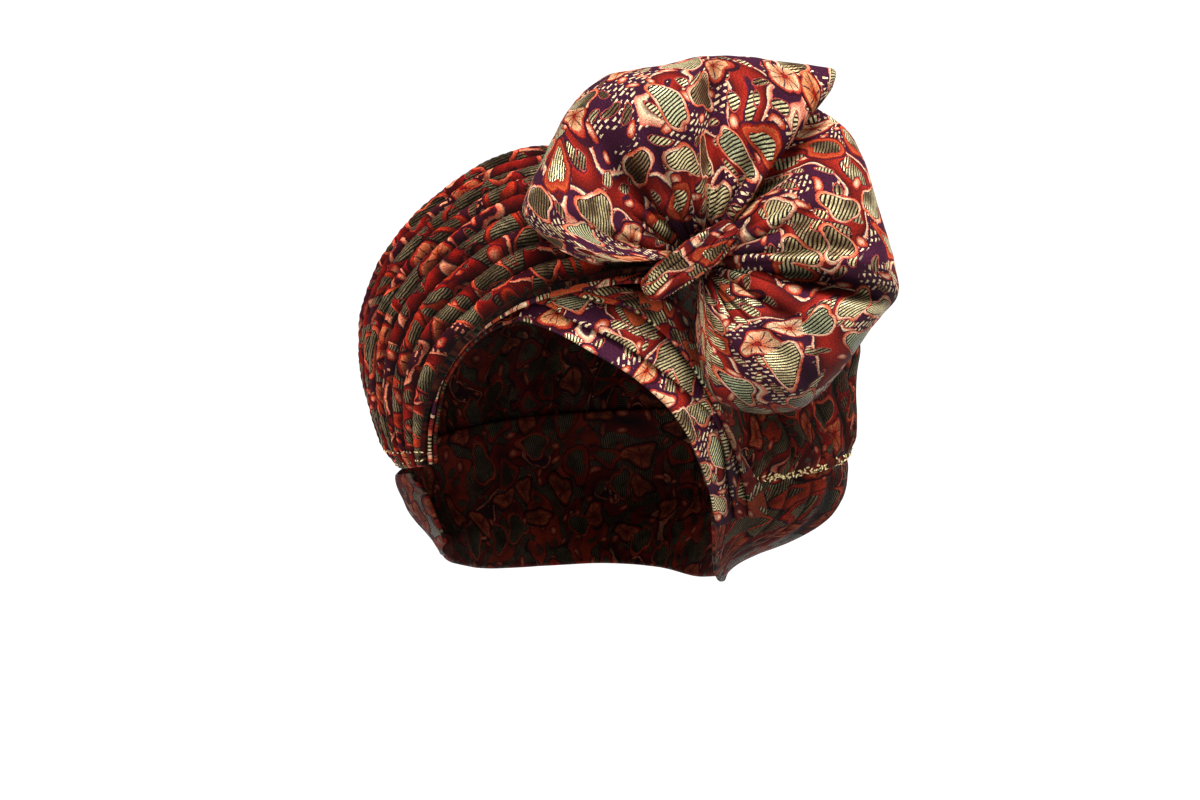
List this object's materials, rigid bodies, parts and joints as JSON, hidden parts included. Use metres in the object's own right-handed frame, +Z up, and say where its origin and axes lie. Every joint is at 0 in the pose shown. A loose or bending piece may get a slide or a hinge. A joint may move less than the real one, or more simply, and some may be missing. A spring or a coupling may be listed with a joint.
{
  "type": "tied gele head tie",
  "caption": "Tied brocade gele head tie with a pleated halo fan, folded brow bands, a puffed head bag and a large two-loop bow at one side.",
  "frame": {"origin": "middle of the head at the level of the brow, where the tie sits", "axes": "+Z up, -Y to the face side, +X to the wearer's left, the side of the bow"},
  "size_m": [0.2691, 0.2074, 0.2681],
  "materials": {
    "crown_bag": "woven brocade with metallic gold thread",
    "nape_wrap": "woven brocade with metallic gold thread",
    "pleat_fan": "woven brocade with metallic gold thread",
    "brow_hem": "woven brocade with metallic gold thread",
    "brow_band": "woven brocade with metallic gold thread",
    "brow_fold_lower": "woven brocade with metallic gold thread",
    "brow_fold_upper": "woven brocade with metallic gold thread",
    "knot": "woven brocade with metallic gold thread",
    "bow_loop_upper": "woven brocade with metallic gold thread",
    "bow_loop_lower": "woven brocade with metallic gold thread"
  },
  "bodies": {
    "root": {"crown_bag": "crown_bag", "nape_wrap": "nape_wrap", "pleat_fan": "pleat_fan", "brow_hem": "brow_hem", "brow_band": "brow_band", "brow_fold_lower": "brow_fold_lower", "brow_fold_upper": "brow_fold_upper", "knot": "knot", "bow_loop_upper": "bow_loop_upper", "bow_loop_lower": "bow_loop_lower"}
  },
  "joints": []
}
